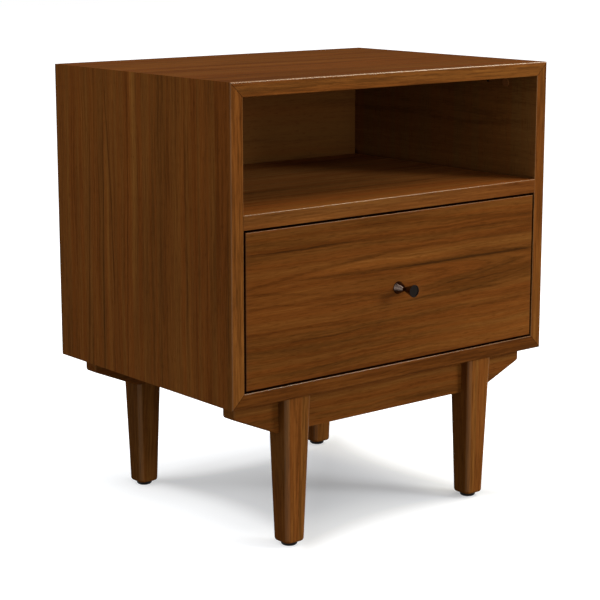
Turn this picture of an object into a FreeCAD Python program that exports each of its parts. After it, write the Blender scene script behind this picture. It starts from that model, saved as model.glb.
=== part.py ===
"""Nightstand: a mitred walnut case with one inset drawer under an open cubby, on two rails and four legs.

Millimetres, +Z up, the front faces -Y, left is -X. The origin is on the floor, in the middle of the plan
that the case and its knob cover.
"""
import FreeCAD
import Part
import Sketcher
import os
import re

SIZES = {
    # Case: top, bottom and sides are one board thickness, mitred at the corners
    "case_width": 550,
    "case_depth": 396,
    "case_height": 406,
    "board": 19,
    "outer_arris": 2,
    "inner_arris": 1.2,
    "drawer_space": 205.5,
    "shelf_thick": 19,
    # Back panel, held in a groove round the case
    "back_thick": 6,
    "back_inset": 7.5,
    "groove_depth": 6,
    "groove_play": 0.3,
    "edge_play": 1,
    # Corner fittings: a cam in the side, a bolt up or down into the top or bottom, a cap over the cam
    "cam_diameter": 10,
    "cam_depth": 11,
    "cam_drop": 12,
    "cam_inset": 60,
    "cam_bolt_diameter": 5,
    "cam_bolt_length": 28,
    "cap_diameter": 12,
    "cap_thick": 1,
    "pilot_diameter": 4.5,
    "pilot_depth": 8,
    "pilot_step": 35.5,
    # Dowels in the shelf ends and in the half-lapped legs
    "dowel_diameter": 8,
    "dowel_play": 0.05,
    "shelf_dowel_length": 32,
    "shelf_dowel_sunk": 12,
    "shelf_dowel_inset": 50,
    "leg_dowel_length": 24,
    "leg_dowel_sunk": 10,
    "leg_dowel_drop": 14,
    "leg_dowel_pitch": 21,
    # Legs: square, tapered on all sides, with round corners
    "leg_height": 198.5,
    "leg_top": 43.4,
    "leg_foot": 31.5,
    "leg_corner": 8,
    "foot_round": 4.5,
    "leg_side_inset": 111.9,
    "front_leg_inset": 27.8,
    "rear_leg_inset": 33.4,
    "leg_proud": 17,
    # Rails under the case, with ends swept up like a boat's
    "rail_thick": 25,
    "rail_height": 49,
    "rail_end_height": 20,
    "rail_wing": 68.5,
    "rail_short": 0.5,
    "rail_end_round": 4.5,
    "rail_arris": 3,
    "rail_bolt_pitch": 100,
    "rail_bolt_diameter": 6,
    "rail_bolt_length": 41,
    "rail_bolt_head": 10,
    "rail_bolt_head_thick": 5,
    "rail_bolt_play": 0.3,
    "rail_bore_diameter": 13,
    "rail_bore_depth": 20,
    "insert_diameter": 9,
    "insert_length": 13,
    # Glides screwed under the feet
    "glide_diameter": 22,
    "glide_height": 5.5,
    "glide_round": 3.5,
    "glide_sink_diameter": 10,
    "glide_sink_depth": 3.2,
    "glide_screw_diameter": 4,
    "glide_screw_length": 26,
    "glide_screw_head": 8,
    "glide_screw_head_thick": 2.5,
    # Drawer front
    "front_gap": 3,
    "front_thick": 19,
    "front_arris": 1,
    # Drawer box: dovetailed sides, front and back round a grooved bottom
    "box_length": 350,
    "box_height": 155,
    "box_lift": 18,
    "box_side": 12,
    "box_end": 12,
    "tail_count": 4,
    "tail_width": 26,
    "tail_slope": 2,
    "bottom_thick": 6,
    "bottom_lift": 9,
    "bottom_sunk": 6,
    # Drawer slides: three nested channels each side, with balls in cages between them
    "slide_length": 348,
    "slide_setback": 1,
    "slide_thick": 12.7,
    "slide_height": 45,
    "slide_sheet": 1.2,
    "slide_flange": 9.6,
    "race_gap": 3,
    "middle_offset": 4.6,
    "middle_flange": 5.8,
    "inner_flange": 5.3,
    "cage_length": 160,
    "cage_sheet": 0.6,
    "cage_play": 0.4,
    "cage_flange": 5,
    "ball_diameter": 2.6,
    "ball_count": 3,
    "ball_pitch": 60,
    # Screws that hold the slides, the drawer front and the knob
    "slide_screw_diameter": 4,
    "slide_screw_head": 7,
    "slide_screw_head_thick": 1.8,
    "slide_screw_inset": 35,
    "case_screw_length": 13,
    "drawer_screw_length": 10,
    "screw_play": 0.1,
    "front_screw_length": 24,
    "front_screw_head": 8,
    "front_screw_head_thick": 2.4,
    "front_screw_spread": 360,
    "front_screw_rise": 100,
    "knob_screw_diameter": 4,
    "knob_screw_length": 41,
    "knob_screw_head": 9,
    # Knob: two cones that meet at a narrow waist, with a flat, slightly dished head
    "knob_length": 31,
    "knob_base": 17,
    "knob_base_thick": 0.8,
    "knob_waist": 6,
    "knob_waist_out": 13,
    "knob_waist_round": 3,
    "knob_head": 16.5,
    "knob_rim": 1,
    "knob_rim_width": 1,
    "knob_dish": 0.6,
}

# Places in the case's frame: x from its middle, y from its front, z from its base
WALL = "(case_width / 2 - board)"
CEILING = "(case_height - board)"
SHELF_BASE = "(board + drawer_space)"
BACK_FRONT = "(case_depth - back_inset - back_thick)"
BOX_FRONT = "front_thick"
BOX_BACK = "(front_thick + box_length)"
BOX_BASE = "(board + box_lift)"
BOX_HALF = "(case_width / 2 - board - slide_thick)"
FRONT_MIDDLE = "(board + drawer_space / 2)"
SLIDE_START = "(front_thick + slide_setback)"
SLIDE_MIDDLE = "(board + box_lift + box_height / 2)"
RAIL_FACE = "(leg_proud - leg_top / 2)"

# Frames: where a group of pieces has its own origin
CASE = ("0", "(knob_length - case_depth) / 2", "glide_height + leg_height")
FRONT_LINE = "(knob_length - case_depth) / 2 + front_leg_inset"
REAR_LINE = "(knob_length + case_depth) / 2 - rear_leg_inset"

# Sense of each sketch plane's normal along its own axis
PLANES = {"XY": 1, "XZ": -1, "YZ": 1}
NEAR = 1e-4

doc = FreeCAD.newDocument("Nightstand")
sheet = doc.addObject("Spreadsheet::Sheet", "Sizes")
for row, (alias, size) in enumerate(SIZES.items(), 1):
    sheet.set("A%d" % row, alias)
    sheet.set("B%d" % row, str(size))
    sheet.setAlias("B%d" % row, alias)
doc.recompute()
nodes = []


def linked(text):
    """The formula with every size written as a reference to the sheet."""
    return re.sub(r"[a-z_]+", lambda word: "Sizes." + word[0] if word[0] in SIZES else word[0], text)


def number(text):
    """The formula's value now."""
    return float(sheet.evalExpression(text))


def place(item, spot, turn=FreeCAD.Rotation()):
    """Puts an object at a spot given by three formulas."""
    item.Placement = FreeCAD.Placement(FreeCAD.Vector(), turn)
    for axis, text in zip("xyz", spot):
        item.setExpression("Placement.Base." + axis, linked(text))


def add_body(label, spot=CASE, turn=0):
    """A body that becomes one node, turned about Z."""
    body = doc.addObject("PartDesign::Body", label)
    body.Label = label
    place(body, spot, FreeCAD.Rotation(FreeCAD.Vector(0, 0, 1), turn))
    nodes.append(body)
    return body


def datum(body, role):
    """One of the body's own origin planes or axes."""
    return next(item for item in body.Origin.OriginFeatures if item.Role == role)


def add_sketch(body, name, plane, lift="0"):
    """A sketch on an origin plane, moved to the coordinate that lift gives."""
    sketch = body.newObject("Sketcher::SketchObject", name)
    sketch.AttachmentSupport = (datum(body, plane + "_Plane"), "")
    sketch.MapMode = "FlatFace"
    sketch.setExpression("AttachmentOffset.Base.z", "%d * (%s)" % (PLANES[plane], linked(lift)))
    return sketch


def tie(sketch, text, kind, *items):
    """A dimension that follows a formula."""
    index = sketch.addConstraint(Sketcher.Constraint(kind, *items, number(text)))
    sketch.setExpression("Constraints[%d]" % index, linked(text))


def tie_point(sketch, item, point, spot):
    """Ties a point of the sketch to its coordinates."""
    tie(sketch, spot[0], "DistanceX", -1, 1, item, point)
    tie(sketch, spot[1], "DistanceY", -1, 1, item, point)


def draw_outline(sketch, corners):
    """A closed outline of straight lines, each corner tied to its coordinates."""
    spots = [FreeCAD.Vector(number(across), number(up)) for across, up in corners]
    for index, spot in enumerate(spots):
        sketch.addGeometry(Part.LineSegment(spot, spots[(index + 1) % len(spots)]))
    for index, corner in enumerate(corners):
        following = (index + 1) % len(corners)
        sketch.addConstraint(Sketcher.Constraint("Coincident", index, 2, following, 1))
        tie_point(sketch, index, 1, corner)
    return sketch


def rectangle(left, right, low, high):
    """The corners of a rectangle."""
    return [(left, low), (right, low), (right, high), (left, high)]


def draw_circles(sketch, centres, diameter):
    """Circles of one size."""
    for spot in centres:
        middle = FreeCAD.Vector(number(spot[0]), number(spot[1]))
        ring = sketch.addGeometry(Part.Circle(middle, FreeCAD.Vector(0, 0, 1), number(diameter) / 2))
        tie_point(sketch, ring, 3, spot)
        tie(sketch, diameter, "Diameter", ring)
    return sketch


def extrude(body, kind, name, sketch, length, towards):
    """A Pad or Pocket along the plane's axis, towards its + or - side."""
    feature = body.newObject("PartDesign::" + kind, name)
    feature.Profile = sketch
    feature.setExpression("Length", linked(length))
    sense = towards * PLANES[sketch.AttachmentSupport[0][0].Role[:2]]
    feature.Reversed = sense < 0 if kind == "Pad" else sense > 0
    sketch.Visibility = False
    return feature


def pad(body, name, plane, lift, corners, length, towards=1):
    """An outline drawn on a plane and padded."""
    sketch = draw_outline(add_sketch(body, name + "_outline", plane, lift), corners)
    return extrude(body, "Pad", name, sketch, length, towards)


def pocket(body, name, plane, lift, corners, length, towards=1):
    """An outline drawn on a plane and cut away."""
    sketch = draw_outline(add_sketch(body, name + "_outline", plane, lift), corners)
    return extrude(body, "Pocket", name, sketch, length, towards)


def bore(body, name, plane, lift, centres, diameter, depth, towards=1):
    """Round holes cut from a plane."""
    sketch = draw_circles(add_sketch(body, name + "_circles", plane, lift), centres, diameter)
    return extrude(body, "Pocket", name, sketch, depth, towards)


def repeat(body, name, feature, axis, length, count):
    """Copies of a feature spread evenly along an axis."""
    pattern = body.newObject("PartDesign::LinearPattern", name)
    pattern.Originals = [feature]
    pattern.Direction = (datum(body, axis + "_Axis"), [""])
    pattern.setExpression("Length", linked(length))
    pattern.setExpression("Occurrences", linked(count))
    body.Tip = pattern
    return pattern


def at(**where):
    """A test for edges that lie wholly at the given coordinates."""
    spots = {axis: number(text) for axis, text in where.items()}
    return lambda edge: all(abs(getattr(corner.Point, axis) - spot) < NEAR
                            for corner in edge.Vertexes for axis, spot in spots.items())


def fillet(body, name, radius, *tests):
    """Rounds the edges that pass any of the tests."""
    doc.recompute()
    base = body.Tip
    chosen = ["Edge%d" % count for count, edge in enumerate(base.Shape.Edges, 1)
              if any(test(edge) for test in tests)]
    feature = body.newObject("PartDesign::Fillet", name)
    feature.Base = (base, chosen)
    feature.setExpression("Radius", linked(radius))
    return feature


def taper_sides(body, name, blank, angle):
    """Slopes a blank's upright faces inwards below its top face."""
    doc.recompute()
    rises = [("Face%d" % count, face.normalAt(0, 0).z) for count, face in enumerate(blank.Shape.Faces, 1)]
    feature = body.newObject("PartDesign::Draft", name)
    feature.Base = (blank, [face for face, rise in rises if abs(rise) < NEAR])
    feature.NeutralPlane = (blank, [face for face, rise in rises if rise > 1 - NEAR])
    feature.Reversed = True
    feature.setExpression("Angle", linked(angle))
    return feature


def revolve(body, name, plane, corners, axis):
    """An outline turned once round the sketch's own axis."""
    sketch = draw_outline(add_sketch(body, name + "_outline", plane), corners)
    feature = body.newObject("PartDesign::Revolution", name)
    feature.Profile = sketch
    feature.ReferenceAxis = (sketch, [axis])
    feature.Angle = 360
    sketch.Visibility = False
    return feature


def cylinder(name, spot, direction, diameter, length):
    """A round bar from a spot along a direction."""
    bar = doc.addObject("Part::Cylinder", name)
    bar.setExpression("Radius", linked("(%s) / 2" % diameter))
    bar.setExpression("Height", linked(length))
    place(bar, spot, FreeCAD.Rotation(FreeCAD.Vector(0, 0, 1), FreeCAD.Vector(*direction)))
    return bar


def in_frame(frame, spot):
    """A spot given in a frame, as formulas from the model's origin."""
    return tuple("%s + %s" % pair for pair in zip(frame, spot))


def group(label, items):
    """One node made of separate solids."""
    compound = doc.addObject("Part::Compound", label)
    compound.Label = label
    compound.Links = items
    nodes.append(compound)
    return compound


def screw(name, spot, direction, diameter, length, head, head_thick):
    """A screw seated at a spot: its shank runs along the direction, its head stands on the other side."""
    backwards = tuple(-part for part in direction)
    whole = doc.addObject("Part::Fuse", name)
    whole.Base = cylinder(name + "_shank", spot, direction, diameter, length)
    whole.Tool = cylinder(name + "_head", spot, backwards, head, head_thick)
    return whole


# Where the repeated fittings go, in the case's frame
CAM_ROWS = ("cam_inset", "case_depth - cam_inset")
CAM_LEVELS = {"upper": ("(case_height - board - cam_drop)", 1), "lower": ("(board + cam_drop)", -1)}
CAM_BOLT_X = "(case_width / 2 - board + cam_depth / 2)"
DOWEL_ROWS = ("shelf_dowel_inset", BACK_FRONT + " / 2", BACK_FRONT + " - shelf_dowel_inset")
SHELF_MIDDLE = "(board + drawer_space + shelf_thick / 2)"
SLIDE_SCREW_ROWS = (SLIDE_START + " + slide_screw_inset", SLIDE_START + " + slide_length / 2",
                    SLIDE_START + " + slide_length - slide_screw_inset")
RAIL_BOLT_COLUMNS = ("-rail_bolt_pitch", "0", "rail_bolt_pitch")
RAIL_MIDDLE = "(leg_proud - leg_top / 2 + rail_thick / 2)"
LEG_COLUMNS = {"left": "(leg_side_inset - case_width / 2)", "right": "(case_width / 2 - leg_side_inset)"}
HANDS = {"left": -1, "right": 1}
LINES = {"front": (FRONT_LINE, 0), "rear": (REAR_LINE, 180)}
LEG_DOWEL_LEVELS = ("-leg_dowel_drop", "-(leg_dowel_drop + leg_dowel_pitch)")
FRONT_SCREW_SPOTS = [("%d * front_screw_spread / 2" % column,
                      "%s + %d * front_screw_rise / 2" % (FRONT_MIDDLE, level))
                     for column in (-1, 1) for level in (-1, 1)]
DOWEL_HOLE = "dowel_diameter + 2 * dowel_play"


def sided(hand, text):
    """A formula mirrored to the left for hand -1."""
    return "%d * %s" % (hand, text)


def back_groove(body, low, high):
    """The part of the back panel's groove between two levels."""
    reach = "(%s + groove_depth)" % WALL
    footprint = rectangle("-" + reach, reach, BACK_FRONT, BACK_FRONT + " + back_thick + groove_play")
    pocket(body, "back_groove", "XY", low, footprint, "%s - %s" % (high, low))


def make_top():
    body = add_body("top_panel")
    pad(body, "mitred_board", "XZ", "0", [
        ("-case_width / 2", "case_height"), ("case_width / 2", "case_height"),
        (WALL, CEILING), ("-" + WALL, CEILING)], "case_depth")
    back_groove(body, CEILING, "(%s + groove_depth)" % CEILING)
    spots = [(sided(hand, CAM_BOLT_X), row) for hand in HANDS.values() for row in CAM_ROWS]
    bore(body, "cam_bolt_holes", "XY", CEILING, spots, "cam_bolt_diameter + 2 * screw_play",
         "cam_bolt_length - cam_drop")
    fillet(body, "outer_arris", "outer_arris", at(y="0", z="case_height"))
    fillet(body, "inner_arris", "inner_arris", at(y="0", z=CEILING))


def make_bottom():
    body = add_body("bottom_panel")
    pad(body, "mitred_board", "XZ", "0", [
        ("-case_width / 2", "0"), ("case_width / 2", "0"),
        (WALL, "board"), ("-" + WALL, "board")], "case_depth")
    back_groove(body, "(board - groove_depth)", "board")
    spots = [(sided(hand, CAM_BOLT_X), row) for hand in HANDS.values() for row in CAM_ROWS]
    bore(body, "cam_bolt_holes", "XY", "board", spots, "cam_bolt_diameter + 2 * screw_play",
         "cam_bolt_length - cam_drop", -1)
    rows = ("front_leg_inset + " + RAIL_MIDDLE, "case_depth - rear_leg_inset - " + RAIL_MIDDLE)
    spots = [(column, row) for column in RAIL_BOLT_COLUMNS for row in rows]
    bore(body, "insert_holes", "XY", "0", spots, "insert_diameter", "insert_length")
    fillet(body, "outer_arris", "outer_arris", at(y="0", z="0"))
    fillet(body, "inner_arris", "inner_arris", at(y="0", z="board"))


def make_side(name, hand):
    body = add_body(name + "_side")
    outer = sided(hand, "case_width / 2")
    inner = sided(hand, WALL)
    pad(body, "mitred_board", "XZ", "0", [
        (outer, "0"), (outer, "case_height"), (inner, CEILING), (inner, "board")], "case_depth")
    back_groove(body, "(board - groove_depth)", "(%s + groove_depth)" % CEILING)
    spots = [(row, level) for row in CAM_ROWS for level, _ in CAM_LEVELS.values()]
    bore(body, "cam_holes", "YZ", inner, spots, "cam_diameter", "cam_depth", hand)
    for place_name, (level, sense) in CAM_LEVELS.items():
        spots = [(sided(hand, CAM_BOLT_X), row) for row in CAM_ROWS]
        bore(body, place_name + "_cam_bolt_holes", "XY", level, spots, "cam_bolt_diameter + 2 * screw_play",
             "cam_bolt_length", sense)
    bore(body, "pilot_hole", "YZ", inner, [("cam_inset + pilot_step", CAM_LEVELS["upper"][0])],
         "pilot_diameter", "pilot_depth", hand)
    bore(body, "dowel_holes", "YZ", inner, [(row, SHELF_MIDDLE) for row in DOWEL_ROWS], DOWEL_HOLE,
         "shelf_dowel_sunk", hand)
    bore(body, "slide_screw_holes", "YZ", inner, [(row, SLIDE_MIDDLE) for row in SLIDE_SCREW_ROWS],
         "slide_screw_diameter + 2 * screw_play", "case_screw_length - slide_sheet", hand)
    fillet(body, "outer_arris", "outer_arris", at(x=outer, y="0"))
    fillet(body, "inner_arris", "inner_arris", at(x=inner, y="0"))


def make_shelf():
    body = add_body("shelf")
    pad(body, "board", "XY", SHELF_BASE, rectangle("-" + WALL, WALL, "0", BACK_FRONT), "shelf_thick")
    spots = [(row, SHELF_MIDDLE) for row in DOWEL_ROWS]
    for name, hand in HANDS.items():
        bore(body, name + "_dowel_holes", "YZ", sided(hand, WALL), spots, DOWEL_HOLE,
             "shelf_dowel_length - shelf_dowel_sunk", -hand)
    fillet(body, "arrises", "inner_arris", at(y="0", z=SHELF_BASE),
           at(y="0", z=SHELF_BASE + " + shelf_thick"))


def make_back():
    body = add_body("back_panel")
    reach = "(%s + groove_depth - edge_play)" % WALL
    pad(body, "panel", "XZ", BACK_FRONT, rectangle(
        "-" + reach, reach, "board - groove_depth", CEILING + " + groove_depth - edge_play"), "back_thick")


def make_case_fittings():
    cams = []
    bolts = []
    caps = []
    dowels = []
    for name, hand in HANDS.items():
        for row_name, row in zip(LINES, CAM_ROWS):
            for level_name, (level, sense) in CAM_LEVELS.items():
                key = "%s_%s_%s" % (level_name, row_name, name)
                face = in_frame(CASE, (sided(hand, WALL), row, level))
                bolt_foot = in_frame(CASE, (sided(hand, CAM_BOLT_X), row, level))
                cam = doc.addObject("Part::Cut", "cam_" + key)
                cam.Base = cylinder("cam_barrel_" + key, face, (hand, 0, 0), "cam_diameter", "cam_depth")
                cam.Tool = cylinder("cam_slot_" + key, bolt_foot, (0, 0, sense),
                                    "cam_bolt_diameter + 2 * screw_play", "cam_diameter")
                cams.append(cam)
                bolts.append(cylinder("cam_bolt_" + key, bolt_foot, (0, 0, sense), "cam_bolt_diameter",
                                      "cam_bolt_length"))
                caps.append(cylinder("cam_cap_" + key, face, (-hand, 0, 0), "cap_diameter", "cap_thick"))
        for count, row in enumerate(DOWEL_ROWS):
            spot = in_frame(CASE, (sided(hand, "(%s + shelf_dowel_sunk)" % WALL), row, SHELF_MIDDLE))
            dowels.append(cylinder("shelf_dowel_%s_%d" % (name, count), spot, (-hand, 0, 0),
                                   "dowel_diameter", "shelf_dowel_length"))
    group("corner_cams", cams)
    group("corner_bolts", bolts)
    group("cam_caps", caps)
    group("shelf_dowels", dowels)


def make_rail(name):
    line, turn = LINES[name]
    body = add_body(name + "_rail", ("0", line, CASE[2]), turn)
    end = "(%s - rail_short)" % WALL
    knee = "(%s - rail_wing)" % end
    pad(body, "boat", "XZ", RAIL_FACE, [
        ("-" + end, "0"), (end, "0"), (end, "-rail_end_height"), (knee, "-rail_height"),
        ("-" + knee, "-rail_height"), ("-" + end, "-rail_end_height")], "rail_thick")
    low_ends = [at(x=x, z="-rail_end_height") for x in (end, "-" + end)]
    fillet(body, "end_rounds", "rail_end_round", *low_ends)
    corners = [at(x=x, y=y) for x in (end, "-" + end) for y in (RAIL_FACE, RAIL_FACE + " + rail_thick")]
    fillet(body, "end_arrises", "rail_arris", *corners)
    spots = [(column, RAIL_MIDDLE) for column in RAIL_BOLT_COLUMNS]
    bore(body, "bolt_bores", "XY", "-rail_height", spots, "rail_bore_diameter", "rail_bore_depth")
    bore(body, "bolt_holes", "XY", "0", spots, "rail_bolt_diameter + 2 * rail_bolt_play",
         "rail_height - rail_bore_depth", -1)
    spots = [(column, level) for column in LEG_COLUMNS.values() for level in LEG_DOWEL_LEVELS]
    bore(body, "dowel_holes", "XZ", RAIL_FACE, spots, DOWEL_HOLE, "leg_dowel_length - leg_dowel_sunk")


def is_upright(edge):
    """Tells a leg's long edges from those round its ends."""
    return abs(edge.Vertexes[0].Z - edge.Vertexes[-1].Z) > number("leg_height") / 2


def make_leg(line_name, column_name):
    line, turn = LINES[line_name]
    spot = (LEG_COLUMNS[column_name], line, CASE[2])
    body = add_body("leg_%s_%s" % (line_name, column_name), spot, turn)
    square = rectangle("-leg_top / 2", "leg_top / 2", "-leg_top / 2", "leg_top / 2")
    blank = pad(body, "square_blank", "XY", "0", square, "leg_height", -1)
    taper_sides(body, "taper", blank, "atan((leg_top - leg_foot) / 2 / leg_height)")
    fillet(body, "round_corners", "leg_corner", is_upright)
    fillet(body, "foot_round", "foot_round", at(z="-leg_height"))
    pocket(body, "half_lap", "XY", "-rail_height", rectangle(
        "-leg_top / 2", "leg_top / 2", RAIL_FACE, "leg_top / 2"), "rail_height")
    bore(body, "dowel_holes", "XZ", RAIL_FACE, [("0", level) for level in LEG_DOWEL_LEVELS], DOWEL_HOLE,
         "leg_dowel_sunk", -1)
    bore(body, "glide_screw_hole", "XY", "-leg_height", [("0", "0")],
         "glide_screw_diameter + 2 * screw_play", "glide_screw_length + glide_sink_depth - glide_height")


def make_glide(line_name, column_name):
    line, turn = LINES[line_name]
    body = add_body("glide_%s_%s" % (line_name, column_name), (LEG_COLUMNS[column_name], line, "0"), turn)
    hole = "(glide_screw_diameter / 2 + screw_play)"
    rim = "glide_diameter / 2"
    revolve(body, "turned_glide", "XZ", [
        (hole, "glide_height"), (hole, "glide_sink_depth"), ("glide_sink_diameter / 2", "glide_sink_depth"),
        ("glide_sink_diameter / 2", "0"), (rim, "0"), (rim, "glide_height")], "V_Axis")
    radius = number(rim)
    fillet(body, "lower_round", "glide_round",
           lambda edge: at(z="0")(edge) and abs(edge.Curve.Radius - radius) < NEAR)


def make_base_fittings():
    dowels = []
    bolts = []
    inserts = []
    glide_screws = []
    for line_name, (line, turn) in LINES.items():
        sense = 1 if turn == 0 else -1
        frame = ("0", line, CASE[2])
        for column_name, column in LEG_COLUMNS.items():
            key = "%s_%s" % (line_name, column_name)
            for count, level in enumerate(LEG_DOWEL_LEVELS):
                end = in_frame(frame, (column, sided(sense, "(%s - leg_dowel_sunk)" % RAIL_FACE), level))
                dowels.append(cylinder("leg_dowel_%s_%d" % (key, count), end, (0, sense, 0),
                                       "dowel_diameter", "leg_dowel_length"))
            seat = (column, line, "glide_sink_depth")
            glide_screws.append(screw("glide_screw_" + key, seat, (0, 0, 1), "glide_screw_diameter",
                                      "glide_screw_length", "glide_screw_head", "glide_screw_head_thick"))
        for count, column in enumerate(RAIL_BOLT_COLUMNS):
            key = "%s_%d" % (line_name, count)
            foot = in_frame(frame, (column, sided(sense, RAIL_MIDDLE), "rail_bore_depth - rail_height"))
            bolts.append(screw("rail_bolt_" + key, foot, (0, 0, 1), "rail_bolt_diameter",
                               "rail_bolt_length", "rail_bolt_head", "rail_bolt_head_thick"))
            mouth = in_frame(frame, (column, sided(sense, RAIL_MIDDLE), "0"))
            insert = doc.addObject("Part::Cut", "insert_" + key)
            insert.Base = cylinder("insert_body_" + key, mouth, (0, 0, 1),
                                   "insert_diameter", "insert_length")
            insert.Tool = cylinder("insert_thread_" + key, mouth, (0, 0, 1),
                                   "rail_bolt_diameter + 2 * screw_play", "insert_length")
            inserts.append(insert)
    group("leg_dowels", dowels)
    group("rail_bolts", bolts)
    group("rail_inserts", inserts)
    group("glide_screws", glide_screws)


def make_drawer_front():
    body = add_body("drawer_front")
    half = "(%s - front_gap)" % WALL
    low = "(board + front_gap)"
    high = "(board + drawer_space - front_gap)"
    pad(body, "slab", "XZ", "0", rectangle("-" + half, half, low, high), "front_thick")
    bore(body, "front_screw_holes", "XZ", "front_thick", FRONT_SCREW_SPOTS,
         "slide_screw_diameter + 2 * screw_play", "front_screw_length - box_end", -1)
    bore(body, "knob_screw_hole", "XZ", "0", [("0", FRONT_MIDDLE)], "knob_screw_diameter + 2 * screw_play",
         "front_thick")
    fillet(body, "arrises", "front_arris", at(y="0", x=half), at(y="0", x="-" + half), at(y="0", z=low),
           at(y="0", z=high))


def tail(level, end, towards):
    """The outline of one dovetail in the YZ plane, wide at the end of the side and narrow at its root."""
    root = "(%s + %d * box_end)" % (end, towards)
    wide = "(tail_width / 2)"
    narrow = "(tail_width / 2 - tail_slope)"
    return [(end, "%s - %s" % (level, wide)), (root, "%s - %s" % (level, narrow)),
            (root, "%s + %s" % (level, narrow)), (end, "%s + %s" % (level, wide))]


FIRST_TAIL = "(%s + box_height / tail_count / 2)" % BOX_BASE
TAIL_SPAN = "box_height * (1 - 1 / tail_count)"
BOX_ENDS = {"front": (BOX_FRONT, 1), "back": (BOX_BACK, -1)}


def bottom_groove(body):
    """The drawer bottom's groove, where it crosses this piece of the box."""
    reach = "(%s - box_side + bottom_sunk)" % BOX_HALF
    footprint = rectangle("-" + reach, reach, BOX_FRONT + " + box_end - bottom_sunk",
                          BOX_BACK + " - box_end + bottom_sunk")
    pocket(body, "bottom_groove", "XY", BOX_BASE + " + bottom_lift", footprint,
           "bottom_thick + groove_play")


def make_box_side(name, hand):
    body = add_body("drawer_box_" + name)
    outer = sided(hand, BOX_HALF)
    pad(body, "side", "YZ", outer, rectangle(
        BOX_FRONT + " + box_end", BOX_BACK + " - box_end", BOX_BASE, BOX_BASE + " + box_height"),
        "box_side", -hand)
    for end_name, (end, towards) in BOX_ENDS.items():
        shape = pad(body, end_name + "_tail", "YZ", outer, tail(FIRST_TAIL, end, towards),
                    "box_side", -hand)
        repeat(body, end_name + "_tails", shape, "Z", TAIL_SPAN, "tail_count")
    bottom_groove(body)
    bore(body, "slide_screw_holes", "YZ", outer, [(row, SLIDE_MIDDLE) for row in SLIDE_SCREW_ROWS],
         "slide_screw_diameter + 2 * screw_play", "drawer_screw_length - slide_sheet", -hand)


def make_box_end(name):
    end, towards = BOX_ENDS[name]
    body = add_body("drawer_box_" + name)
    pad(body, "end", "XZ", end, rectangle("-" + BOX_HALF, BOX_HALF, BOX_BASE, BOX_BASE + " + box_height"),
        "box_end", towards)
    for hand_name, hand in HANDS.items():
        socket = pocket(body, hand_name + "_socket", "YZ", sided(hand, "(%s - box_side)" % BOX_HALF),
                        tail(FIRST_TAIL, end, towards), "box_side", hand)
        repeat(body, hand_name + "_sockets", socket, "Z", TAIL_SPAN, "tail_count")
    bottom_groove(body)
    if name == "front":
        bore(body, "front_screw_holes", "XZ", end, FRONT_SCREW_SPOTS,
             "slide_screw_diameter + 2 * screw_play", "box_end")
        bore(body, "knob_screw_hole", "XZ", end, [("0", FRONT_MIDDLE)],
             "knob_screw_diameter + 2 * screw_play", "box_end")


def make_drawer_bottom():
    body = add_body("drawer_bottom")
    reach = "(%s - box_side + bottom_sunk)" % BOX_HALF
    pad(body, "panel", "XY", BOX_BASE + " + bottom_lift", rectangle(
        "-" + reach, reach, BOX_FRONT + " + box_end - bottom_sunk", BOX_BACK + " - box_end + bottom_sunk"),
        "bottom_thick")


def channel(web, tip, height, thick, hand):
    """The outline of a C-shaped section in the XZ plane. Web and tip are distances from the case's wall."""
    def across(text):
        return sided(hand, "(%s - (%s))" % (WALL, text))
    back = across(web)
    mouth = across(tip)
    inside = across("%s + %d * %s" % (web, 1 if number(tip) > number(web) else -1, thick))
    high = "(%s + (%s) / 2)" % (SLIDE_MIDDLE, height)
    low = "(%s - (%s) / 2)" % (SLIDE_MIDDLE, height)
    under = "%s - %s" % (high, thick)
    over = "%s + %s" % (low, thick)
    return [(back, high), (mouth, high), (mouth, under), (inside, under),
            (inside, over), (mouth, over), (mouth, low), (back, low)]


MIDDLE_HEIGHT = "(slide_height - 2 * slide_sheet - 2 * race_gap)"
INNER_HEIGHT = "(slide_height - 4 * slide_sheet - 4 * race_gap)"


def make_slide(name, hand):
    members = {
        "outer": ("0", "slide_flange", "slide_height"),
        "middle": ("middle_offset", "middle_offset + middle_flange", MIDDLE_HEIGHT),
        "inner": ("slide_thick", "slide_thick - inner_flange", INNER_HEIGHT),
    }
    for member, (web, tip, height) in members.items():
        body = add_body("slide_%s_%s" % (member, name))
        section = channel(web, tip, height, "slide_sheet", hand)
        pad(body, "channel", "XZ", SLIDE_START, section, "slide_length")
        if member != "middle":
            bore(body, "screw_holes", "YZ", sided(hand, "(%s - %s)" % (WALL, web)),
                 [(row, SLIDE_MIDDLE) for row in SLIDE_SCREW_ROWS], "slide_screw_diameter + 2 * screw_play",
                 "slide_sheet", -hand if member == "outer" else hand)


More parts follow.
